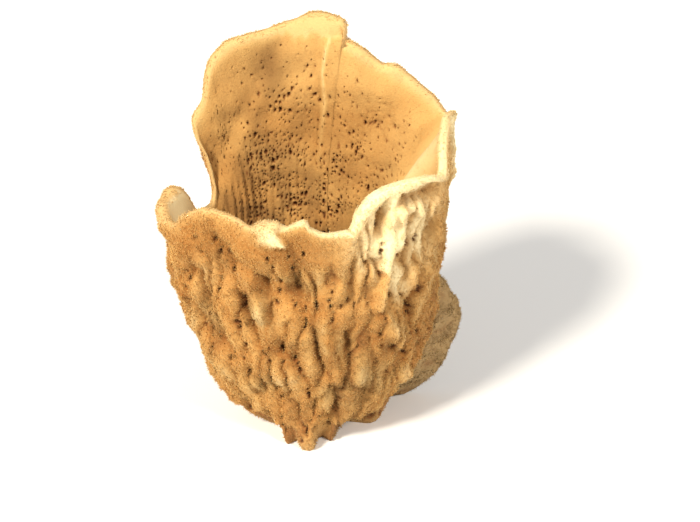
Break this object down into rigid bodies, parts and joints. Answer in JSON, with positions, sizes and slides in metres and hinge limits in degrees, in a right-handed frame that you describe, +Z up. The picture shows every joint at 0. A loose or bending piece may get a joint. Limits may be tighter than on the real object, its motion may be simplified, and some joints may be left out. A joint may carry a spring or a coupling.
{
  "type": "sea sponge",
  "caption": "Dried vase-shaped sea sponge: a deep ribbed cup with a low wavy front rim, a tall fan of wall at the back and a small side lobe, cut flat at the foot.",
  "frame": {"origin": "on the flat cut at the foot, close to the middle of it", "axes": "+Z up from the cut, -Y towards the low front rim, +X towards the side that carries the small lobe"},
  "size_m": [0.164, 0.1158, 0.2266],
  "materials": {
    "sponge": "matt fibrous dry skeleton, pale cream at the rim and brown in the pits"
  },
  "bodies": {
    "root": {"sponge": "sponge"}
  },
  "joints": []
}
